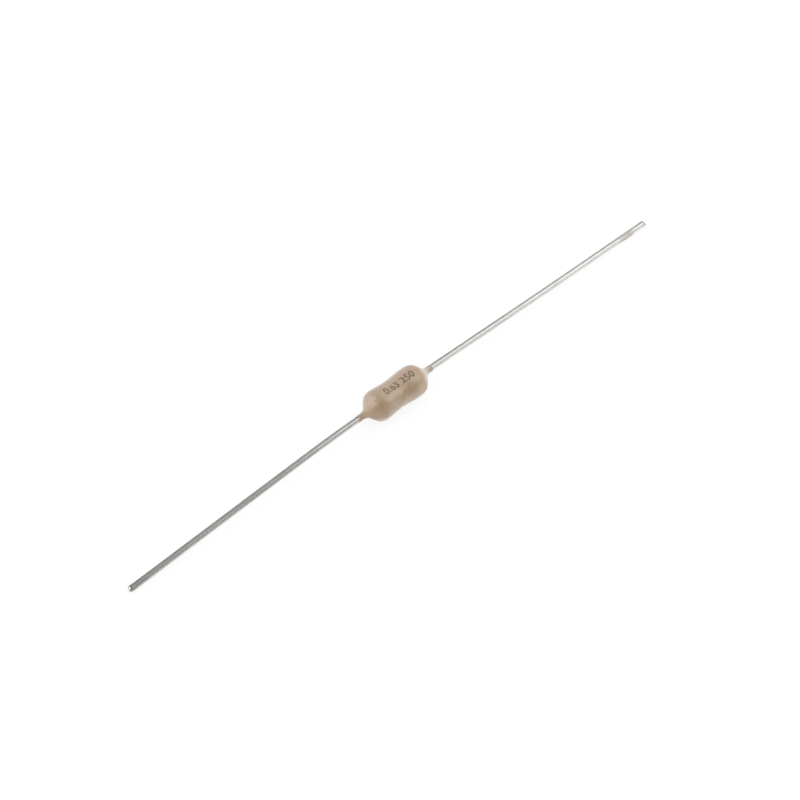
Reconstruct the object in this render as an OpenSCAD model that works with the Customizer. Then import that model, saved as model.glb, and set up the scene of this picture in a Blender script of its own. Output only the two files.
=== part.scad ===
// Axial-lead fuse. A ceramic tube holds a fine fuse wire between two pressed end caps, each cap
// carries a round wire lead, and the whole is dipped in epoxy.
// It lies on a table at Z = 0 with its axis along X. X = 0 is midway between the two lead tips.
// Sizes are in millimetres. Profiles are lists of [distance along the axis, radius].

/* [Ceramic tube] */
// Outside diameter of the tube
tube_d = 1.5; // [1.3:0.05:1.8]
// Bore of the tube
tube_bore_d = 0.9; // [0.6:0.05:1.1]
// Length of the tube
tube_l = 4.6; // [4:0.1:6]

/* [End caps] */
// Thickness of the cap's pressed metal
cap_wall = 0.18; // [0.1:0.01:0.25]
// Length of a cap over all
cap_l = 1.35; // [1:0.05:1.8]
// Outer corner radius of the cap's closed end
cap_corner_r = 0.15; // [0.05:0.01:0.3]
// Gap between the tube's end and the inside of the cap, filled with solder
cap_gap = 0.1; // [0.05:0.01:0.2]

/* [Fuse element] */
// Diameter of the wire that melts
element_d = 0.08; // [0.05:0.01:0.15]
// How far the solder covers the wall of the tube's bore
solder_lip = 0.12; // [0.05:0.01:0.3]

/* [Coating] */
// Thickness of the epoxy over the caps, where it is widest
coat_over_cap = 0.485; // [0.3:0.005:0.7]
// Thickness of the epoxy over the tube, at the waist
coat_over_tube = 0.565; // [0.4:0.005:0.64]
// How far the waist lies off the middle, towards the left lead
waist_shift = 0.25; // [0:0.01:0.35]
// How far inside the cap's closed end the rounded shoulder starts
shoulder_back = 0.4; // [0.4:0.01:0.5]
// Radius of the rounded shoulder
shoulder_r = 0.985; // [0.8:0.005:1.1]
// Slope of the end, as the angle between its normal and the axis
end_slope = 46.6; // [40:0.1:52]
// Radius of the hollow that runs the epoxy out along the lead
meniscus_r = 1.05; // [0.7:0.01:1.2]
// Thickness of the thin collar of epoxy round the lead
collar_t = 0.03; // [0.02:0.005:0.06]
// Length of the collar
collar_l = 0.32; // [0.15:0.01:0.6]
// Length of the collar's thinned edge
collar_lip = 0.1; // [0.05:0.01:0.14]

/* [Leads] */
// Diameter of the lead wire
lead_d = 0.55; // [0.45:0.01:0.7]
// How far the upset head, which is welded to the cap, stands out all round the wire
head_flare = 0.2; // [0.15:0.01:0.3]
// Thickness of the upset head
head_t = 0.18; // [0.12:0.01:0.3]
// Radius of the fillet between the head and the wire
head_fillet_r = 0.06; // [0.03:0.01:0.07]
// Rounded rim of the upset head
head_rim_r = 0.05; // [0.02:0.01:0.08]

/* [Left lead] */
// Straight wire between the coating's collar and the left lead's bend
left_free = 0.92; // [0.1:0.01:4]
// Radius of the left lead's slow bend
left_bend_r = 120; // [20:1:160]
// Straight wire from the left lead's bend to its tip
left_end = 19.8; // [16:0.1:26]
// Lean of the left lead's bend away from straight down
left_lean = 8.4; // [0:0.1:25]

/* [Right lead] */
// Straight wire between the coating's collar and the right lead's first bend
right_free = 0.32; // [0.1:0.01:4]
// Radius of the right lead's bend close to the coating
right_bend_r = 19; // [10:1:60]
// Straight wire between the right lead's first bend and its second
right_run = 11.4; // [8:0.1:14]
// Radius of the second bend, which eases the right lead back
right_ease_r = 250; // [100:5:300]
// Angle of the second bend
right_ease = 1.05; // [0.5:0.05:1.5]
// Straight wire from the right lead's second bend to its tip
right_end = 12.3; // [10:0.1:18]
// Lean of the right lead's bends away from straight down
right_lean = 17.7; // [0:0.1:25]

/* [Hidden] */

LEFT = -1;
RIGHT = 1;
DOWN = 1;
UP = -1;
ROUND_FN = 48;
BEND_FN = 720;
ARC_STEP = 4;
SWELL_STEPS = 10;
// A straight stops this far short of a bend, inside a ball that stands this far over the wire.
SEAM = 0.01;
SEAM_STEP = 0.001;

tube_r = tube_d / 2;
bore_r = tube_bore_d / 2;
tube_end = tube_l / 2;
cap_inside = tube_end + cap_gap;
cap_end = cap_inside + cap_wall;
cap_start = cap_end - cap_l;
cap_middle = cap_end - cap_l / 2;
cap_r = tube_r + cap_wall;
element_r = element_d / 2;
solder_r = bore_r - element_r;
lead_r = lead_d / 2;
head_r = lead_r + head_flare;
head_end = cap_end + head_t;
head_foot = head_end + head_fillet_r;
crest_r = cap_r + coat_over_cap;
waist_r = tube_r + coat_over_tube;
collar_r = lead_r + collar_t;
shoulder_x = cap_end - shoulder_back;

// The sloping end of the coating is tangent to its shoulder and to its meniscus.
slope_start = [shoulder_x + shoulder_r * cos(end_slope), crest_r - shoulder_r * (1 - sin(end_slope))];
slope_end_r = collar_r + meniscus_r * (1 - sin(end_slope));
slope_l = (slope_start[1] - slope_end_r) / cos(end_slope);
meniscus_x = slope_start[0] + slope_l * sin(end_slope) + meniscus_r * cos(end_slope);
collar_end = meniscus_x + collar_l;

// The wire's bends lie in one plane, which leans about the fuse's axis. The first bend is as sharp
// as brings the tip down to rest on the table, which is crest_r below the axis: the wire's sink
// across its bends and runs is a sum of one sine and one cosine of that angle.
function rest_angle(bend_r, run, ease_r, ease, last, lean) =
    let (foot = lead_r / cos(lean),
         across = run + ease_r * sin(ease) + last * cos(ease) + foot * sin(ease),
         back = ease_r * (cos(ease) - 1) - last * sin(ease) - bend_r + foot * cos(ease),
         sink = crest_r / cos(lean) - bend_r)
    asin(sink / norm([across, back])) - atan2(back, across);

function reach(stub, bend_r, angle, run, ease_r, ease, last) =
    stub + bend_r * sin(angle) + run * cos(angle)
    + ease_r * (sin(angle) - sin(angle - ease)) + last * cos(angle - ease);

left_stub = collar_end + left_free;
left_angle = rest_angle(left_bend_r, 0, 0, 0, left_end, left_lean);
left_reach = reach(left_stub, left_bend_r, left_angle, 0, 0, 0, left_end);

right_stub = collar_end + right_free;
right_angle = rest_angle(right_bend_r, right_run, right_ease_r, right_ease, right_end, right_lean);
right_reach = reach(right_stub, right_bend_r, right_angle, right_run, right_ease_r, right_ease,
                    right_end);

fuse_x = (left_reach - right_reach) / 2;

function arc(x, y, r, from, to) =
    let (steps = ceil(abs(to - from) / ARC_STEP))
    [for (i = [0:steps]) let (a = from + (to - from) * i / steps) [x + r * cos(a), y + r * sin(a)]];

function reversed(points) = [for (i = [len(points) - 1:-1:0]) points[i]];

function mirrored(points) = [for (p = points) [-p[0], p[1]]];

// The outside of a cap, from its open edge to the middle of its closed end.
function cap_outside() = concat(
    [[cap_start, cap_r]],
    arc(cap_end - cap_corner_r, cap_r - cap_corner_r, cap_corner_r, 90, 0));

// The upset head and its fillet, from the cap out to the plain wire.
function head_outside() = concat(
    [[cap_end, head_r]],
    arc(head_end - head_rim_r, head_r - head_rim_r, head_rim_r, 90, 0),
    arc(head_foot, lead_r + head_fillet_r, head_fillet_r, 180, 270));

// One half of the coating's outside, from the waist to the end of the collar. The epoxy swells
// from the waist to the crest over the cap as half a cosine wave.
function coat_outside(side) =
    let (waist_x = -side * waist_shift)
    concat(
        [for (i = [0:SWELL_STEPS]) let (t = i / SWELL_STEPS)
            [waist_x + t * cap_middle, waist_r + (crest_r - waist_r) * (1 - cos(180 * t)) / 2]],
        arc(shoulder_x, crest_r - shoulder_r, shoulder_r, 90, end_slope),
        arc(meniscus_x, collar_r + meniscus_r, meniscus_r, 180 + end_slope, 270),
        [[collar_end - collar_lip, collar_r], [collar_end, lead_r]]);

// One half of the coating's inside, which is the outside of the pieces that it covers.
function coat_inside() = concat([[cap_start, tube_r]], cap_outside(), head_outside());

module turned(profile) {
    rotate([0, 90, 0])
        rotate_extrude($fn = ROUND_FN)
            polygon([for (p = profile) [p[1], p[0]]]);
}

module on_table() {
    translate([fuse_x, 0, crest_r])
        children();
}

module on_side(side) {
    rotate([0, 0, side == LEFT ? 180 : 0])
        children();
}

module coating() {
    color([0.72, 0.62, 0.54])
        on_table()
            turned(concat(
                reversed(mirrored(coat_outside(LEFT))),
                coat_outside(RIGHT),
                reversed(coat_inside()),
                mirrored(coat_inside())));
}

module ceramic_tube() {
    color([0.93, 0.92, 0.88])
        on_table()
            turned([[-tube_end, bore_r], [-tube_end, tube_r], [tube_end, tube_r], [tube_end, bore_r]]);
}

module end_cap(side) {
    color([0.78, 0.74, 0.62])
        on_table()
            on_side(side)
                turned(concat(
                    cap_outside(),
                    [[cap_end, 0], [cap_inside, 0], [cap_inside, tube_r], [cap_start, tube_r]]));
}

// Solder fills the cap behind the tube and climbs the fuse wire in a hollow curve.
module solder(side) {
    color([0.68, 0.69, 0.7])
        on_table()
            on_side(side)
                turned(concat(
                    arc(tube_end - solder_lip - solder_r, bore_r, solder_r, -90, 0),
                    [[tube_end, bore_r], [tube_end, tube_r], [cap_inside, tube_r],
                     [cap_inside, element_r]]));
}

module fuse_element() {
    color([0.85, 0.84, 0.8])
        on_table()
            translate([-cap_inside, 0, 0])
                rotate([0, 90, 0])
                    cylinder(h = 2 * cap_inside, r = element_r, $fn = ROUND_FN);
}

// A straight stretch of wire along the axis.
module wire(from, to) {
    translate([from, 0, 0])
        rotate([0, 90, 0])
            cylinder(h = to - from, r = lead_r, $fn = ROUND_FN);
}

// The joint of a straight and a bend. It makes them one solid without a shared face.
module seam() {
    rotate([0, 90, 0])
        sphere(r = lead_r + SEAM_STEP, $fn = ROUND_FN);
}

// A bend in the wire from the origin, downwards or upwards. Its children go on from its end.
module bend(r, angle, turn) {
    seam();
    translate([0, 0, -turn * r])
        rotate([90, 0, 0])
            rotate_extrude(angle = angle, start = turn == DOWN ? 90 - angle : -90, $fn = BEND_FN)
                translate([r, 0])
                    circle(r = lead_r, $fn = ROUND_FN);
    translate([r * sin(angle), 0, -turn * r * (1 - cos(angle))])
        rotate([0, turn * angle, 0]) {
            seam();
            children();
        }
}

// The wire's inner end: the head on the cap, and the straight stretch out through the coating.
module headed_stub(l) {
    turned(concat([[cap_end, 0]], head_outside(), [[l - SEAM, lead_r], [l - SEAM, 0]]));
}

// Both leads lean towards +Y, so that the coating and the two tips stand on the table.
module lead_left() {
    color([0.77, 0.77, 0.75])
        on_table()
            on_side(LEFT)
                rotate([-left_lean, 0, 0]) {
                    headed_stub(left_stub);
                    translate([left_stub, 0, 0])
                        bend(left_bend_r, left_angle, DOWN)
                            wire(SEAM, left_end);
                }
}

module lead_right() {
    color([0.77, 0.77, 0.75])
        on_table()
            rotate([right_lean, 0, 0]) {
                headed_stub(right_stub);
                translate([right_stub, 0, 0])
                    bend(right_bend_r, right_angle, DOWN) {
                        wire(SEAM, right_run - SEAM);
                        translate([right_run, 0, 0])
                            bend(right_ease_r, right_ease, UP)
                                wire(SEAM, right_end);
                    }
            }
}

coating();
ceramic_tube();
end_cap(LEFT);  // end_cap_left
end_cap(RIGHT);  // end_cap_right
solder(LEFT);  // solder_left
solder(RIGHT);  // solder_right
fuse_element();
lead_left();
lead_right();
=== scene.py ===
"""The looks of the axial-lead fuse: a dipped epoxy body on two tinned wire leads, lying on a white table."""

import math
from collections import namedtuple

import bmesh
import bpy
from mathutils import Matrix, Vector, noise
from mathutils.bvhtree import BVHTree


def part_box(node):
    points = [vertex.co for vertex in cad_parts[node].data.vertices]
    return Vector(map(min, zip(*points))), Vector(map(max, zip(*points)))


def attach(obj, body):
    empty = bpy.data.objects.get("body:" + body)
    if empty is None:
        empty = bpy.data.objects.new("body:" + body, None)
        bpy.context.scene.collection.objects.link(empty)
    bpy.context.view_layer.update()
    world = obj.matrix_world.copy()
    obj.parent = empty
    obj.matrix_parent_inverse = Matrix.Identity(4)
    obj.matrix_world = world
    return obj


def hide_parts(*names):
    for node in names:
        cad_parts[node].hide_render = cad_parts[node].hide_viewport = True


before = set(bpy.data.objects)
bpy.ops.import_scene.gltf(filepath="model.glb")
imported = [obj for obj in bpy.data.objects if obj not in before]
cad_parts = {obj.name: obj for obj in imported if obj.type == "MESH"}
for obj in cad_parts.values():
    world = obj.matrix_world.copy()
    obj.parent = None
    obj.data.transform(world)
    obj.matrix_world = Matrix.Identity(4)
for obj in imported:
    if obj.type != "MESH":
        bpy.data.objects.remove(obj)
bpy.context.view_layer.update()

MM = 0.001
LEFT = -1
RIGHT = 1
UP = Vector((0, 0, 1))
SIDE = Vector((0, 1, 0))

# ---------------------------------------------------------------- sizes read from the frame

coat_low, coat_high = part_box("coating")
tube_low, tube_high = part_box("ceramic_tube")
cap_low, cap_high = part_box("end_cap_right")

AXIS_Z = (coat_low.z + coat_high.z) / 2
MIDDLE_X = (tube_low.x + tube_high.x) / 2
MIDDLE = Vector((MIDDLE_X, 0, AXIS_Z))
COAT_R = (coat_high.z - coat_low.z) / 2
TUBE_R = (tube_high.z - tube_low.z) / 2
CAP_R = (cap_high.z - cap_low.z) / 2

# ---------------------------------------------------------------- the shot

# The camera stands CAMERA_FAR from the middle of the body, which shows at BODY_PIXEL of a square frame.
FRAME_PIXELS = 800
BODY_PIXEL = (395.35, 392.95)
FOCAL_PIXELS = 3276
CAMERA_FAR = 280 * MM
CAMERA_TURN = math.radians(47.47)
CAMERA_RISE = math.radians(40.59)

TABLE_SIZE = 4.0
# The part of the table's white that lamps and shadows change, and the part that always glows.
TABLE_LIT = 0.16
TABLE_GLOW = 0.86
TABLE_BOUNCE = 0.8
ROOM_LEVEL = 0.94
KEY_POWER = 0.11
KEY_SIZE = 0.28
KEY_AT = Vector((0.17, -0.10, 0.30))

# Cards that only reflections show, which give the wires their dark and pale bands: a dark grey wall
# all round the table, higher behind than in front, a grey ceiling over the fuse and far out to its
# left, a pale one behind it on the right, and a nearly black card that stands before it.
WALL_R = 0.40
WALL_TOP = 0.21
WALL_SLANT = 0.19
WALL_SIDES = 48
WALL_GREY = 0.28
CEILING_Z = 0.10
CEILING_FROM = Vector((-0.16, -0.14))
CEILING_TO = Vector((0.060, 0.14))
CEILING_GREY = 0.47
BACK_FROM = Vector((0.060, -0.012))
BACK_TO = Vector((0.28, 0.14))
BACK_GREY = 0.8
FRONT_Y = -0.05
FRONT_FROM_X = -0.16
FRONT_TO_X = 0.037
FRONT_TOP = 0.027
FRONT_GREY = 0.05
# Cards of the same kind that lie on the table before the leads, in place of the leads' own shade.
SHADE_Z = 0.01 * MM
SHADE_REACH = 14 * MM
SHADE_FROM = 3 * MM
SHADE_TO = 50 * MM
SHADE_LEFT_GREY = 0.78
SHADE_RIGHT_GREY = 0.95

# ---------------------------------------------------------------- the shapes

COAT_STEPS = 240
COAT_ROUND = 128
COAT_SMOOTHING = 3
# How far the dipped skin swells, how far it sinks where it is uneven, and over what distance.
SWELL = 0.04 * MM
UNEVEN = 0.035 * MM
UNEVEN_SPAN = 1.3 * MM
# How far round the body from its lowest line the skin, which lies on the table, swells less.
FLAT_BELOW = math.radians(48)
# How far the thicker right end of the coat sits towards the front.
COAT_SAG = 0.03 * MM
# How far the coat's edges creep along the wires in wide waves and in fine ones, how many of each there
# are to a turn or so, how much further the film runs on the left, and how much of the coat follows.
RAGGED = 0.16 * MM
RAGGED_FINE = 0.4 * RAGGED
RAGGED_WAVES = 2
RAGGED_FINE_WAVES = 6
LEFT_FILM = 0.28 * MM
RAGGED_REACH = 0.5 * MM

WIRE_ROUND = 64
WIRE_STEP = 0.2 * MM
TRACE_INSET = 0.02 * MM
# How much the drawn wire varies in radius.
WIRE_VARIES = 0.003 * MM
# How far back from a tip its cut bends the wire, and how far it squeezes it out to the front.
CUT_REACH = 0.8 * MM
CUT_SPREAD = 0.06 * MM
CUT_SPREAD_ANGLE = math.radians(-115)
# The left tip's burr: how far it reaches all round, and how much further where the wire is squeezed out.
BURR = 0.13 * MM
BURR_TAIL = 0.16 * MM
# The right tip's cut, in wire radii: how far back it lies, which way it faces round the wire, how
# steeply it leans back there and across it, and from where its low corner is broken off, how steeply.
CUT_BACK = 0.2
CUT_FACES = math.radians(-38)
CUT_LEANS = 0.5
CUT_LEANS_ACROSS = 0.25
CORNER_FROM = -0.62
CORNER_STEEP = 2.2
# The cut face is drawn as rings, which lie at these shares of the wire's radius.
CUT_FACE_SHARES = (0.9, 0.6, 0.1)
# A smear of tape glue on the front of the right lead: where it starts and ends, measured from the
# tip, over what distances it rises and fades, how thick it is, how many lumps it has in a millimetre,
# where round the wire it lies, and how blunt it is there.
GLUE_START = 1.75 * MM
GLUE_END = 4.7 * MM
GLUE_RISE = 0.25 * MM
GLUE_FADE = 2.2 * MM
GLUE_THICK = 0.06 * MM
GLUE_LUMPS = 1.6
GLUE_ANGLE = math.radians(-105)
GLUE_BLUNT = 0.7

# The print, as its middle on the coat, its width and the height of its figures.
PRINT_TEXT = "0.63 250"
PRINT_X = 0.05 * MM
PRINT_ANGLE = math.radians(-14.7)
PRINT_WIDTH = 3.6 * MM
PRINT_HEIGHT = 0.70 * MM
PRINT_BOLD = 0.022
PRINT_PROUD = 0.004 * MM
PRINT_CELL = 0.06 * MM

# ---------------------------------------------------------------- mesh making


def linked(name, data):
    """A new object in the scene."""
    made = bpy.data.objects.new(name, data)
    bpy.context.collection.objects.link(made)
    return made


def spread(low, high, count):
    """count + 1 even values from low to high."""
    return [low + (high - low) * i / count for i in range(count + 1)]


def around(count):
    """count even angles round a circle."""
    return spread(0, 2 * math.pi, count)[:-1]


def smoothed(values, passes):
    """The values, each drawn to its neighbours' mean that many times, so that facets fade."""
    for _ in range(passes):
        inner = [(a + 2 * b + c) / 4 for a, b, c in zip(values, values[1:], values[2:])]
        values = [values[0], *inner, values[-1]]
    return values


def hump(distance, reach):
    """1 at no distance, falling smoothly to 0 at reach."""
    return 0.5 + 0.5 * math.cos(math.pi * min(1, abs(distance) / reach))


def surface_tree(mesh):
    """The mesh's surface, ready for rays."""
    corners = [v.co for v in mesh.vertices]
    return BVHTree.FromPolygons(corners, [p.vertices for p in mesh.polygons])


def crossing(tree, middle, axis):
    """(middle, half width) of the solid along a line that runs through middle in the axis's direction."""
    far = 4 * COAT_R
    first = tree.ray_cast(middle - axis * far, axis)[0]
    last = tree.ray_cast(middle + axis * far, -axis)[0]
    return (first + last) / 2, (last - first).length / 2


def traced(node, xs):
    """(middle, radius) of a round CAD node where the planes at xs cut it, followed from the fuse's axis."""
    tree = surface_tree(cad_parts[node].data)
    middle = MIDDLE.copy()
    found = []
    for x in xs:
        middle.x = x
        middle, _ = crossing(tree, middle, UP)
        middle, _ = crossing(tree, middle, SIDE)
        middle, r = crossing(tree, middle, UP)
        found.append((middle.copy(), r))
    return found


def skinned(name, rings, closed):
    """A smooth skin over rings of points. Closed joins the last ring to the first, else flat ends cap it."""
    count = len(rings[0])
    spans = len(rings) if closed else len(rings) - 1
    faces = []
    for i in range(spans):
        here = i * count
        there = (i + 1) % len(rings) * count
        for j in range(count):
            k = (j + 1) % count
            faces.append((here + j, here + k, there + k, there + j))
    if not closed:
        faces.append(tuple(reversed(range(count))))
        faces.append(tuple(range(spans * count, len(rings) * count)))
    mesh = bpy.data.meshes.new(name)
    mesh.from_pydata([p for ring in rings for p in ring], [], faces)
    mesh.shade_smooth()
    if not closed:
        mesh.polygons[-1].use_smooth = False
        mesh.polygons[-2].use_smooth = False
    return linked(name, mesh)


def turned(x, r, angle):
    """The point at x that lies r from the fuse's axis, at an angle round it from straight up."""
    return Vector((x, r * math.sin(angle), AXIS_Z + r * math.cos(angle)))


# ---------------------------------------------------------------- the coat

WIRE_R = traced("lead_right", [coat_high.x + MM])[0][1]
COAT_TREE = surface_tree(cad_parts["coating"].data)


def coat_radius(x):
    """The outside radius of the CAD coating at x."""
    hit = COAT_TREE.ray_cast(turned(x, 2 * COAT_R, 0), -UP)[0]
    return hit.z - AXIS_Z if hit else WIRE_R


def sunk(p):
    """How far the dipped skin sinks at p."""
    return UNEVEN * (0.5 + 0.5 * noise.noise(p / UNEVEN_SPAN))


def wave(x, angle, count):
    """Noise round the fuse at x, from about -1 to 1, with that many waves."""
    return noise.noise(Vector((x / MM, count * math.sin(angle), count * math.cos(angle))))


def creep(x, angle):
    """How far the coat's skin moves along the wire, which makes its edges ragged."""
    end = coat_high.x if x > MIDDLE_X else coat_low.x
    wide = RAGGED * wave(end, angle, RAGGED_WAVES)
    fine = RAGGED_FINE * wave(end, angle, RAGGED_FINE_WAVES)
    film = LEFT_FILM if x < MIDDLE_X else 0
    return hump(end - x, RAGGED_REACH) * (wide + fine - film)


def skin_point(x, r, angle):
    """A point of the coat's outside, uneven and a little out of true where the CAD coating has radius r."""
    thick = (r - WIRE_R) / (COAT_R - WIRE_R)
    swell = SWELL * (1 - hump(abs(angle - math.pi), FLAT_BELOW))
    sag = COAT_SAG * thick * max(0, (x - MIDDLE_X) / (coat_high.x - MIDDLE_X)) ** 0.5
    p = turned(x + creep(x, angle), r, angle)
    return turned(p.x, r + (swell - sunk(p)) * thick, angle) - SIDE * sag


def coat_inside():
    """The hollow in the coat as (x, radius) from its right edge to its left: wire, cap, tube and back."""
    half = [
        (coat_high.x, WIRE_R),
        (cap_high.x, WIRE_R),
        (cap_high.x, CAP_R),
        (cap_low.x, CAP_R),
        (cap_low.x, TUBE_R),
    ]
    return half + [(2 * MIDDLE_X - x, r) for x, r in reversed(half)]


def epoxy_coat():
    """The dipped coat: the CAD coating's outline with an uneven skin and a ragged edge on each wire."""
    xs = spread(coat_low.x, coat_high.x, COAT_STEPS)
    radii = smoothed([coat_radius(x) for x in xs], COAT_SMOOTHING)
    rings = [[skin_point(x, r, a) for a in around(COAT_ROUND)] for x, r in zip(xs, radii)]
    rings += [[turned(x, r, a) for a in around(COAT_ROUND)] for x, r in coat_inside()]
    return skinned("epoxy_coat", rings, closed=True)


# ---------------------------------------------------------------- the print


def figures():
    """The print's outlines as a flat mesh in its own plane."""
    curve = bpy.data.curves.new("figures", "FONT")
    curve.body = PRINT_TEXT
    curve.offset = PRINT_BOLD
    text = bpy.data.objects.new("figures", curve)
    mesh = bpy.data.meshes.new_from_object(text)
    bpy.data.objects.remove(text)
    return mesh


def fit_print(bm):
    """Brings the figures to the print's width and height, round the middle of their plane."""
    low = Vector([min(v.co[i] for v in bm.verts) for i in range(3)])
    high = Vector([max(v.co[i] for v in bm.verts) for i in range(3)])
    for v in bm.verts:
        v.co.x = (v.co.x - (low.x + high.x) / 2) / (high.x - low.x) * PRINT_WIDTH
        v.co.y = (v.co.y - (low.y + high.y) / 2) / (high.y - low.y) * PRINT_HEIGHT


def cut_into_cells(bm, axis, length):
    """Cuts the figures across the axis, every PRINT_CELL of their length along it."""
    for place in spread(-length / 2, length / 2, round(length / PRINT_CELL))[1:-1]:
        everything = bm.verts[:] + bm.edges[:] + bm.faces[:]
        bmesh.ops.bisect_plane(bm, geom=everything, plane_co=axis * place, plane_no=axis)


def lay_on(bm, tree):
    """Bends the figures round the fuse's axis and drops them on to the surface of the tree."""
    for v in bm.verts:
        angle = PRINT_ANGLE + v.co.y / COAT_R
        x = MIDDLE_X + PRINT_X + v.co.x
        from_outside = turned(x, 2 * COAT_R, angle)
        inwards = (turned(x, 0, angle) - from_outside).normalized()
        v.co = tree.ray_cast(from_outside, inwards)[0] - inwards * PRINT_PROUD


def printed(coat):
    """The print: figures bent round the coat and laid on its skin."""
    mesh = figures()
    bm = bmesh.new()
    bm.from_mesh(mesh)
    fit_print(bm)
    cut_into_cells(bm, Vector((1, 0, 0)), PRINT_WIDTH)
    cut_into_cells(bm, Vector((0, 1, 0)), PRINT_HEIGHT)
    lay_on(bm, surface_tree(coat.data))
    bm.normal_update()
    bm.to_mesh(mesh)
    bm.free()
    mesh.materials.clear()
    mesh.shade_smooth()
    mesh.name = "print"
    return linked("print", mesh)


# ---------------------------------------------------------------- the leads


def glue(side, from_tip, angle):
    """How much glue covers the wire there, from 0 to 1."""
    if side == LEFT:
        return 0
    rise = 1 - hump(max(0, from_tip - GLUE_START), GLUE_RISE)
    fade = 1 - hump(max(0, GLUE_END - from_tip), GLUE_FADE)
    lumps = 0.8 + 0.5 * noise.noise(Vector((from_tip / MM * GLUE_LUMPS, 0, 7)))
    facing = max(0, math.cos(angle - GLUE_ANGLE)) ** GLUE_BLUNT
    return rise * fade * lumps * facing


def squeezed(angle):
    """How much the cutters squeeze the wire out at an angle round it, from 0 to 1."""
    return max(0, math.cos(angle - CUT_SPREAD_ANGLE)) ** 2


def cut(side, angle, share):
    """How far a tip's cut reaches past a square one at an angle round the wire and a share of its radius."""
    if side == LEFT:
        return BURR + BURR_TAIL * share * squeezed(angle)
    facing = share * math.cos(angle - CUT_FACES)
    across = share * math.sin(angle - CUT_FACES)
    corner = CORNER_STEEP * max(0, CORNER_FROM - across)
    return -WIRE_R * (CUT_BACK + CUT_LEANS * facing + CUT_LEANS_ACROSS * across + corner)


def section(side, middle, ahead, radius, from_tip, share=1):
    """The wire's section as (point, place on the wire, glue) round it. The cut face has shares below 1.

    The place is the point's two shares of the wire's radius and its millimetres from the tip.
    """
    back = UP.cross(ahead).normalized() * side
    over = (ahead * side).cross(back)
    bend = max(0, 1 - from_tip / CUT_REACH) ** 2
    found = []
    for a in around(WIRE_ROUND):
        place = Vector((share * math.sin(a), share * math.cos(a), from_tip / MM))
        drawn = WIRE_VARIES * abs(noise.noise(Vector((2 * place.x, 2 * place.y, place.z / 2))))
        smear = glue(side, from_tip, a)
        r = radius - drawn + GLUE_THICK * smear + CUT_SPREAD * bend * squeezed(a)
        point = middle + r * (place.x * back + place.y * over) + bend * cut(side, a, share) * ahead
        found.append((point, place, smear))
    return found


def lead(name, side):
    """A wire lead along the CAD lead's own line, with its head inside the coat and its tip cut off."""
    low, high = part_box(f"lead_{name}")
    inner, tip = (low.x, high.x) if side == RIGHT else (high.x, low.x)
    count = round(abs(tip - inner) / WIRE_STEP)
    xs = spread(inner + side * TRACE_INSET, tip - side * TRACE_INSET, count)
    line = traced(f"lead_{name}", xs)
    middles = [m for m, _ in line]
    sections = []
    for i, (middle, radius) in enumerate(line):
        ahead = (middles[min(i + 1, count)] - middles[max(i - 1, 0)]).normalized()
        sections.append(section(side, middle, ahead, radius, abs(xs[-1] - xs[i])))
    sections += [section(side, middle, ahead, radius, 0, share) for share in CUT_FACE_SHARES]
    made = skinned(f"wire_{name}", [[point for point, _, _ in ring] for ring in sections], closed=False)
    places = made.data.attributes.new("wire_place", "FLOAT_VECTOR", "POINT")
    places.data.foreach_set("vector", [c for ring in sections for _, place, _ in ring for c in place])
    smears = made.data.attributes.new("wire_glue", "FLOAT", "POINT")
    smears.data.foreach_set("value", [smear for ring in sections for _, _, smear in ring])
    return made


# ---------------------------------------------------------------- materials


def ink(red, green, blue):
    """A colour named by its 0 to 255 screen values, as the linear colour that nodes take."""
    screen = [c / 255 for c in (red, green, blue)]
    linear = [c / 12.92 if c < 0.04045 else ((c + 0.055) / 1.055) ** 2.4 for c in screen]
    return (*linear, 1)


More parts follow.
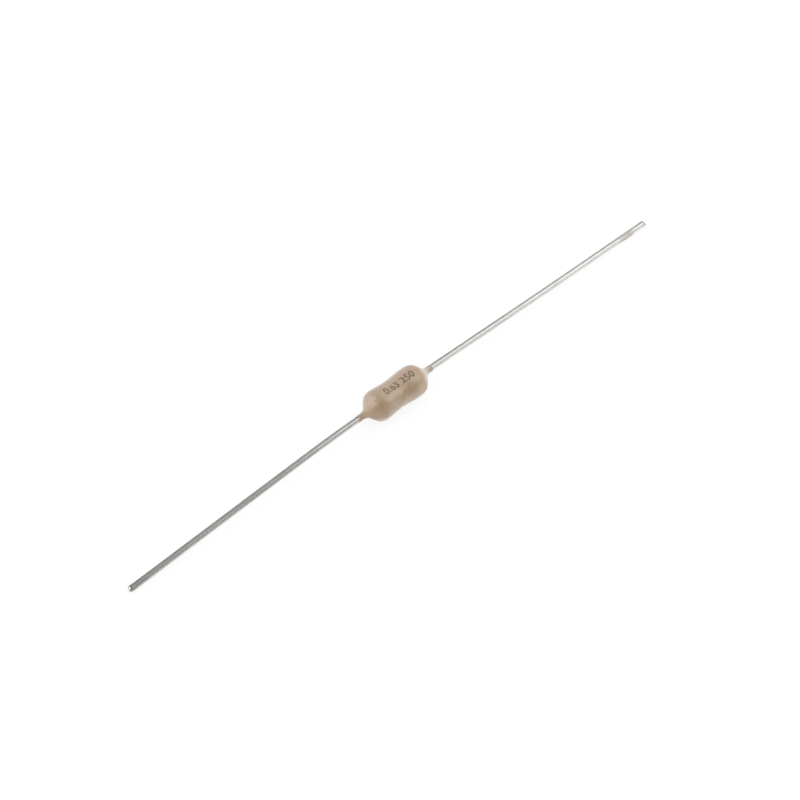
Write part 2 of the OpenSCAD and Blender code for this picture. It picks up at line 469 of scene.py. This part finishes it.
class Look:
    """Nodes being wired up, in a material or a world."""

    def __init__(self, tree):
        self.tree = tree

    def feed(self, socket, value):
        """Links an output into the socket, or sets it to a plain value."""
        if isinstance(value, bpy.types.NodeSocket):
            self.tree.links.new(value, socket)
        else:
            socket.default_value = value

    def node(self, kind, inputs=(), **settings):
        """A new node with its inputs fed in order and its settings set. None leaves an input alone."""
        made = self.tree.nodes.new(f"ShaderNode{kind}")
        for name, value in settings.items():
            setattr(made, name, value)
        for socket, value in zip(made.inputs, inputs):
            if value is not None:
                self.feed(socket, value)
        return made

    def maths(self, operation, *values):
        """The operation's result on plain numbers."""
        return self.node("Math", values, operation=operation).outputs[0]

    def vector(self, operation, *values):
        """The operation's result on vectors, which is a number for a length."""
        made = self.node("VectorMath", values, operation=operation)
        return made.outputs["Value" if operation == "LENGTH" else "Vector"]

    def grain(self, place, scale, detail=3.0, colour=False):
        """Noise of that many waves a unit of place."""
        made = self.node("TexNoise")
        self.feed(made.inputs["Vector"], place)
        self.feed(made.inputs["Scale"], scale)
        self.feed(made.inputs["Detail"], detail)
        return made.outputs["Color" if colour else "Fac"]

    def ramp(self, value, low, high, out_low=0.0, out_high=1.0):
        """A smooth step from out_low to out_high as value goes from low to high."""
        made = self.node(
            "MapRange", (value, low, high, out_low, out_high), interpolation_type="SMOOTHSTEP"
        )
        return made.outputs["Result"]

    def mixed(self, share, first, second):
        """The first colour, with that share of the second."""
        made = self.node("Mix", data_type="RGBA")
        self.feed(made.inputs["Factor"], share)
        self.feed(made.inputs["A"], first)
        self.feed(made.inputs["B"], second)
        return made.outputs[2]

    def bumped(self, height, depth, normal=None):
        """The surface's normal with bumps of that depth, laid over another one if it is given."""
        made = self.node("Bump")
        self.feed(made.inputs["Strength"], 1.0)
        self.feed(made.inputs["Distance"], depth)
        self.feed(made.inputs["Height"], height)
        if normal:
            self.feed(made.inputs["Normal"], normal)
        return made.outputs["Normal"]

    def shade(self, **values):
        """Feeds the Principled shader's inputs."""
        shader = self.tree.nodes["Principled BSDF"]
        for name, value in values.items():
            self.feed(shader.inputs[name.replace("_", " ")], value)

    def body_place(self):
        """The place on the object, in millimetres from the middle of the body."""
        own = self.node("TexCoord").outputs["Object"]
        return self.vector("SCALE", self.vector("SUBTRACT", own, MIDDLE), None, None, 1 / MM)


def material(name, wire_up):
    """A new material whose nodes are made by wire_up."""
    made = bpy.data.materials.new(name)
    made.use_nodes = True
    wire_up(Look(made.node_tree))
    return made


# A patch of colour on the epoxy: its place along the body, the angle round it from straight up, its distance
# from the axis, its length and its width, in millimetres and degrees, its colour, and how strong it is. Most
# are the epoxy's own mottling. The pale ones on the two domes and on the front are painted highlights, and
# the pale lower front edge is a painted reflection of the white table.
Patch = namedtuple("Patch", "along turn out length width tint strength")
MOTTLE_AND_PAINTED_LIGHT = [
    # Painted highlight: the pale near dome.
    Patch(-3.35, 15, 1.2, 1.0, 1.0, ink(213, 190, 170), 0.9),
    Patch(2.0, 2, 1.4, 1.5, 0.6, ink(182, 151, 128), 0.8),
    # Painted highlight: the pale band on the front, facing the camera.
    Patch(-1.1, -42, 1.4, 1.6, 0.5, ink(193, 167, 147), 0.85),
    # Painted highlight: the pale far dome.
    Patch(3.4, -35, 1.1, 1.05, 1.2, ink(212, 192, 174), 0.9),
    Patch(-2.5, -30, 1.4, 0.4, 0.9, ink(168, 144, 118), 0.7),
    Patch(-2.85, -60, 1.4, 0.95, 0.85, ink(165, 139, 107), 0.95),
    Patch(-0.3, -70, 1.4, 1.2, 0.54, ink(164, 138, 106), 0.9),
    Patch(0.75, -57, 1.4, 1.25, 0.7, ink(157, 130, 96), 0.95),
    # Painted reflection: the pale lower front edge, standing in for the white table it reflects.
    Patch(-2.6, -121, 1.4, 0.75, 0.38, ink(212, 196, 180), 0.85),
    Patch(-1.9, 20, 1.4, 1.1, 0.5, ink(168, 148, 122), 0.7),
    Patch(-4.04, -26, 0.8, 0.35, 0.3, ink(210, 182, 146), 0.8),
    Patch(-3.65, -11, 0.95, 0.13, 0.12, ink(140, 120, 104), 0.8),
    Patch(-1.0, 150, 1.4, 2.0, 1.0, ink(158, 132, 104), 0.8),
    Patch(2.2, 105, 1.4, 1.2, 0.9, ink(162, 138, 112), 0.8),
    Patch(-2.9, 95, 1.3, 0.9, 0.8, ink(194, 170, 154), 0.8),
]
EPOXY_BROWN = ink(174, 147, 116)
EPOXY_TAN = ink(185, 162, 134)
FILM_LEFT = ink(167, 133, 103)
FILM_RIGHT = ink(184, 162, 144)
# From where to where along the body, in millimetres from its middle, the coat thins to a film.
FILM_FROM = 3.75
FILM_TO = 4.3


def with_mottle_and_painted_light(look, place, colour):
    """The colour with the patches in it, which fade at their edges: mottling, painted highlights and a
    painted reflection.
    """
    for patch in MOTTLE_AND_PAINTED_LIGHT:
        a = math.radians(patch.turn)
        middle = (patch.along, patch.out * math.sin(a), patch.out * math.cos(a))
        off = look.vector("SUBTRACT", place, middle)
        sized = look.vector("MULTIPLY", off, (1 / patch.length, 1 / patch.width, 1 / patch.width))
        share = look.ramp(look.vector("LENGTH", sized), 0.45, 1.25, patch.strength, 0.0)
        colour = look.mixed(share, colour, patch.tint)
    return colour


def filmed(look, place, colour):
    """The colour with the coat's thin ends in it, which are browner on the left than on the right."""
    along = look.node("SeparateXYZ", (place,)).outputs["X"]
    film = look.ramp(look.maths("ABSOLUTE", along), FILM_FROM, FILM_TO, 0.0, 0.8)
    right = look.ramp(along, -1.0, 1.0)
    return look.mixed(film, colour, look.mixed(right, FILM_LEFT, FILM_RIGHT))


def flecked(look, place, colour):
    """The colour with pale specks, pale blotches and dark pits in it."""
    specks = look.ramp(look.grain(place, 7.0, 2.0), 0.62, 0.72, 0.0, 0.35)
    colour = look.mixed(specks, colour, ink(208, 190, 172))
    blotches = look.ramp(look.grain(place, 2.6, 3.0), 0.36, 0.64, 0.0, 0.24)
    colour = look.mixed(blotches, colour, ink(200, 174, 154))
    pits = look.ramp(look.grain(place, 4.0, 3.0), 0.30, 0.38, 0.35, 0.0)
    return look.mixed(pits, colour, ink(146, 122, 98))


def epoxy_colour(look, place):
    """Tan clouds with patches, some of them painted highlights and a painted reflection, films and flecks.
    The patches and films have wavering edges.
    """
    warp = look.vector("SUBTRACT", look.grain(place, 1.1, 2.0, colour=True), (0.5, 0.5, 0.5))
    bent = look.vector("ADD", place, look.vector("SCALE", warp, None, None, 1.1))
    clouds = look.ramp(look.grain(place, 0.55, 4.0), 0.38, 0.62)
    colour = with_mottle_and_painted_light(look, bent, look.mixed(clouds, EPOXY_BROWN, EPOXY_TAN))
    return flecked(look, place, filmed(look, bent, colour))


def epoxy(look):
    """Waxy tan epoxy, mottled where it ran thick or thin, with painted highlights and a painted pale edge,
    and an orange-peel skin.
    """
    place = look.body_place()
    orange_peel = look.bumped(look.grain(place, 1.6, 2.0), 0.02 * MM)
    look.shade(
        Base_Color=epoxy_colour(look, place),
        Roughness=look.ramp(look.grain(place, 2.2, 3.0), 0.3, 0.7, 0.36, 0.5),
        Normal=look.bumped(look.grain(place, 9.0, 3.0), 0.0025 * MM, orange_peel),
        Subsurface_Weight=0.5,
        Subsurface_Radius=(0.6, 0.4, 0.25),
        Subsurface_Scale=0.55 * MM,
        Sheen_Weight=0.8,
        Sheen_Roughness=0.5,
        Coat_Weight=0.15,
        Coat_Roughness=0.3,
    )


def print_ink(look):
    """Thin olive ink that lets the epoxy show through where it is worn."""
    place = look.body_place()
    worn = look.ramp(look.grain(place, 5.0, 3.0), 0.42, 0.7, 0.0, 0.75)
    look.shade(Base_Color=look.mixed(worn, ink(116, 102, 78), ink(158, 138, 112)), Roughness=0.5)


TIN_LIGHT = ink(233, 233, 229)
TIN_DARK = ink(207, 206, 202)
# Painted light: the right lead's tin is made brighter where its reflections are brighter.
TIN_PAINTED_BRIGHT = ink(246, 245, 242)
TIN_DARKER_TIP = ink(178, 176, 170)
# The cut face's near white is partly bare metal and partly painted reflection, and its dark rim is painted
# dark reflection.
CUT_FACE_PAINTED_BRIGHT = ink(248, 247, 244)
CUT_RIM_PAINTED_DARK = ink(112, 110, 104)
# Where the right lead turns bright, which is painted light for its brighter reflections, and where the left
# one turns darker, in millimetres from the body's middle.
PAINTED_BRIGHT_FROM = 12.0
PAINTED_BRIGHT_TO = 19.0
DARKER_TIP_FROM = -24.0
DARKER_TIP_TO = -32.0


def tin_colour(look, place, lines):
    """Tin in fine lines, painted brighter on the right lead for its brighter reflections and darker towards
    the left tip, with clouds and specks.
    """
    along = look.node("SeparateXYZ", (look.body_place(),)).outputs["X"]
    clouds = look.grain(look.vector("MULTIPLY", place, (1.2, 1.2, 0.9)), 1.0, 3.0)
    specks = look.grain(look.vector("MULTIPLY", place, (3, 3, 2.5)), 1.0, 2.0)
    colour = look.mixed(look.ramp(lines, 0.35, 0.65), TIN_DARK, TIN_LIGHT)
    # Painted light: the right lead is made brighter, standing in for its brighter reflections.
    colour = look.mixed(look.ramp(along, PAINTED_BRIGHT_FROM, PAINTED_BRIGHT_TO, 0.0, 0.55), colour, TIN_PAINTED_BRIGHT)
    colour = look.mixed(look.ramp(along, DARKER_TIP_TO, DARKER_TIP_FROM, 0.4, 0.0), colour, TIN_DARKER_TIP)
    colour = look.mixed(look.ramp(clouds, 0.4, 0.7, 0.0, 0.3), colour, ink(184, 184, 178))
    return look.mixed(look.ramp(specks, 0.62, 0.74, 0.0, 0.22), colour, ink(150, 149, 142))


def cut_colour(look, place, colour):
    """The colour with the tip's cut face in it: near white, partly bare metal and partly a painted
    reflection of the white table, with a dark rim that is a painted reflection of the dark round it.
    """
    middle_out = look.vector("LENGTH", look.vector("MULTIPLY", place, (1, 1, 0)))
    from_tip = look.node("SeparateXYZ", (place,)).outputs["Z"]
    # Painted reflection: the face is made near white, like the white table it reflects.
    colour = look.mixed(look.ramp(middle_out, 0.6, 0.8, 0.9, 0.0), colour, CUT_FACE_PAINTED_BRIGHT)
    # Painted dark reflection: a dark rim at the tip, where its rounded edge reflects the dark walls and
    # cards.
    at_tip = look.ramp(from_tip, 0.0, 0.07, 0.8, 0.0)
    rim = look.maths("MULTIPLY", look.ramp(middle_out, 0.68, 0.88), at_tip)
    return look.mixed(rim, colour, CUT_RIM_PAINTED_DARK)


def tinned_wire(look):
    """Drawn wire with a dull tin plating and a smear of dried glue."""
    place = look.node("Attribute", attribute_name="wire_place").outputs["Vector"]
    lines = look.grain(look.vector("MULTIPLY", place, (3.5, 3.5, 0.1)), 1.0, 2.0)
    lumps = look.grain(look.vector("MULTIPLY", place, (1.5, 1.5, 1.3)), 1.0, 3.0)
    dried = look.mixed(look.ramp(lumps, 0.4, 0.6), ink(222, 216, 204), ink(196, 191, 185))
    smear = look.ramp(look.node("Attribute", attribute_name="wire_glue").outputs["Fac"], 0.05, 0.5)
    dull = look.maths("MULTIPLY", smear, 0.35)
    look.shade(
        Base_Color=look.mixed(smear, cut_colour(look, place, tin_colour(look, place, lines)), dried),
        Metallic=look.ramp(smear, 0.0, 1.0, 1.0, 0.3),
        Roughness=look.maths("ADD", look.ramp(lines, 0.3, 0.7, 0.25, 0.32), dull),
        Normal=look.bumped(lines, 0.0008 * MM),
    )


def glazed(light, dark, rough, metal, scale, streak=1.0):
    """A material's nodes for a hidden piece: two tones of one colour in clouds, with a fine grain.

    scale is the clouds a millimetre, and a streak below 1 draws them out along the fuse.
    """

    def wire_up(look):
        place = look.vector("MULTIPLY", look.body_place(), (streak, 1, 1))
        clouds = look.grain(place, scale, 4.0)
        fine = look.grain(place, scale * 6, 3.0)
        look.shade(
            Base_Color=look.mixed(look.ramp(clouds, 0.35, 0.65), light, dark),
            Metallic=metal,
            Roughness=look.ramp(fine, 0.3, 0.7, rough * 0.8, rough * 1.2),
            Normal=look.bumped(fine, 0.004 * MM),
        )

    return wire_up


def dress(o, look):
    """Gives the object one material in every slot it has."""
    if not o.material_slots:
        o.data.materials.append(look)
    for s in o.material_slots:
        s.link = "OBJECT"
        s.material = look


# ---------------------------------------------------------------- the studio


def camera():
    """The camera, placed so that the middle of the body shows at BODY_PIXEL."""
    level = Vector((math.sin(CAMERA_TURN), math.cos(CAMERA_TURN), 0))
    right = Vector((math.cos(CAMERA_TURN), -math.sin(CAMERA_TURN), 0))
    ahead = level * math.cos(CAMERA_RISE) - UP * math.sin(CAMERA_RISE)
    above = right.cross(ahead)
    off_right = (BODY_PIXEL[0] - FRAME_PIXELS / 2) / FOCAL_PIXELS * CAMERA_FAR
    off_above = (FRAME_PIXELS / 2 - BODY_PIXEL[1]) / FOCAL_PIXELS * CAMERA_FAR
    data = bpy.data.cameras.new("camera")
    data.lens = FOCAL_PIXELS / FRAME_PIXELS * data.sensor_width
    data.clip_start = 10 * MM
    made = linked("camera", data)
    made.location = MIDDLE - off_right * right - off_above * above - CAMERA_FAR * ahead
    made.rotation_euler = ahead.to_track_quat("-Z", "Y").to_euler()
    bpy.context.scene.camera = made


def seen(look):
    """1 for what the camera, metal and glass see, and 0 for what lights the object."""
    path = look.node("LightPath").outputs
    mirrored = look.maths("MAXIMUM", path["Is Glossy Ray"], path["Is Transmission Ray"])
    return look.maths("MAXIMUM", path["Is Camera Ray"], mirrored)


def table_white(look):
    """A white table. What is seen of it glows, and the object's shadow still falls on it."""
    plain = look.node("BsdfDiffuse", ((TABLE_BOUNCE,) * 3 + (1,),))
    lit = look.node("BsdfDiffuse", ((TABLE_LIT,) * 3 + (1,),))
    glow = look.node("Emission", (None, TABLE_GLOW))
    bright = look.node("AddShader", (lit.outputs[0], glow.outputs[0]))
    both = look.node("MixShader", (seen(look), plain.outputs[0], bright.outputs[0]))
    look.feed(look.tree.nodes["Material Output"].inputs["Surface"], both.outputs[0])


def card_grey(level):
    """Matt card of that grey, a little uneven."""

    def wire_up(look):
        clouds = look.grain(look.node("TexCoord").outputs["Object"], 4.0)
        look.shade(
            Base_Color=look.mixed(clouds, (level * 0.8,) * 3 + (1,), (level * 1.2,) * 3 + (1,)),
            Roughness=1.0,
        )

    return wire_up


def flat(name, points, faces, look):
    """A flat or folded sheet of the studio, which isn't part of the object."""
    mesh = bpy.data.meshes.new(name)
    mesh.from_pydata(points, [], faces)
    made = linked(name, mesh)
    dress(made, look)
    return made


# The one face of a sheet with four corners.
ONE_FACE = [(0, 1, 2, 3)]


def oblong(low, high, z):
    """The corners of a level rectangle."""
    return [(low.x, low.y, z), (high.x, low.y, z), (high.x, high.y, z), (low.x, high.y, z)]


def table():
    """The table that the fuse lies on."""
    corner = Vector((TABLE_SIZE / 2, TABLE_SIZE / 2))
    flat("table", oblong(-corner, corner, 0), ONE_FACE, material("table_white", table_white))


def card(name, points, faces, level):
    """A card of that grey which only reflections show."""
    made = flat(name, points, faces, material("card", card_grey(level)))
    made.visible_camera = False
    made.visible_diffuse = False
    made.visible_transmission = False
    made.visible_shadow = False


def wall_card():
    """The wall all round the table."""
    n = WALL_SIDES
    foot = [Vector((WALL_R * math.sin(a), WALL_R * math.cos(a), 0)) for a in around(n)]
    rim = [p + UP * (WALL_TOP + WALL_SLANT * p.y / WALL_R) for p in foot]
    round_it = [(i, (i + 1) % n, n + (i + 1) % n, n + i) for i in range(n)]
    card("wall_card", foot + rim, round_it, WALL_GREY)


def cards():
    """The cards that put dark and pale bands into the metal."""
    wall_card()
    card("ceiling_card", oblong(CEILING_FROM, CEILING_TO, CEILING_Z), ONE_FACE, CEILING_GREY)
    ends = (FRONT_FROM_X, FRONT_TO_X)
    standing = [(x, FRONT_Y, 0) for x in ends] + [(x, FRONT_Y, FRONT_TOP) for x in reversed(ends)]
    card("front_card", standing, ONE_FACE, FRONT_GREY)
    card("back_card", oblong(BACK_FROM, BACK_TO, CEILING_Z), ONE_FACE, BACK_GREY)
    for side, level in ((LEFT, SHADE_LEFT_GREY), (RIGHT, SHADE_RIGHT_GREY)):
        ends = sorted((MIDDLE_X + side * SHADE_FROM, MIDDLE_X + side * SHADE_TO))
        lying = oblong(Vector((ends[0], -SHADE_REACH)), Vector((ends[1], 0)), SHADE_Z)
        card("shade_card", lying, ONE_FACE, level)


def room():
    """An even white room round the table."""
    made = bpy.data.worlds.new("room")
    made.use_nodes = True
    bpy.context.scene.world = made
    look = Look(made.node_tree)
    level = look.ramp(seen(look), 0.0, 1.0, ROOM_LEVEL, 1.0)
    background = look.tree.nodes["Background"]
    look.feed(background.inputs["Color"], (1, 1, 1, 1))
    look.feed(background.inputs["Strength"], level)


def key_lamp():
    """A soft box above the right lead."""
    data = bpy.data.lights.new("key_lamp", "AREA")
    data.energy = KEY_POWER
    data.size = KEY_SIZE
    made = linked("key_lamp", data)
    made.location = KEY_AT
    made.rotation_euler = (MIDDLE - KEY_AT).to_track_quat("-Z", "Y").to_euler()


# ---------------------------------------------------------------- putting it together

camera()
table()
room()
cards()
key_lamp()
bpy.context.scene.view_settings.view_transform = "Standard"


def finished(piece, look, node=None):
    """Gives a piece its place in the fuse and its finish."""
    if node:
        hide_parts(node)
    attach(piece, "root")
    dress(piece, look)


coat = epoxy_coat()
finished(coat, material("tan_epoxy", epoxy), "coating")
finished(printed(coat), material("print_ink", print_ink))
tin = material("tinned_wire", tinned_wire)
for name, side in (("left", LEFT), ("right", RIGHT)):
    finished(lead(name, side), tin, f"lead_{name}")

ceramic = material("ceramic", glazed(ink(236, 232, 222), ink(214, 208, 196), 0.45, 0.0, 1.5))
nickel = material("cap_nickel", glazed(ink(206, 202, 190), ink(176, 171, 158), 0.3, 1.0, 2.0))
solder = material("solder", glazed(ink(186, 187, 188), ink(146, 148, 150), 0.4, 1.0, 4.0))
silver = material("fuse_silver", glazed(ink(214, 212, 206), ink(188, 184, 174), 0.25, 1.0, 6.0, 0.1))
dress(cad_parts["ceramic_tube"], ceramic)
dress(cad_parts["fuse_element"], silver)
for name in ("left", "right"):
    dress(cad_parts[f"end_cap_{name}"], nickel)
    dress(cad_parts[f"solder_{name}"], solder)
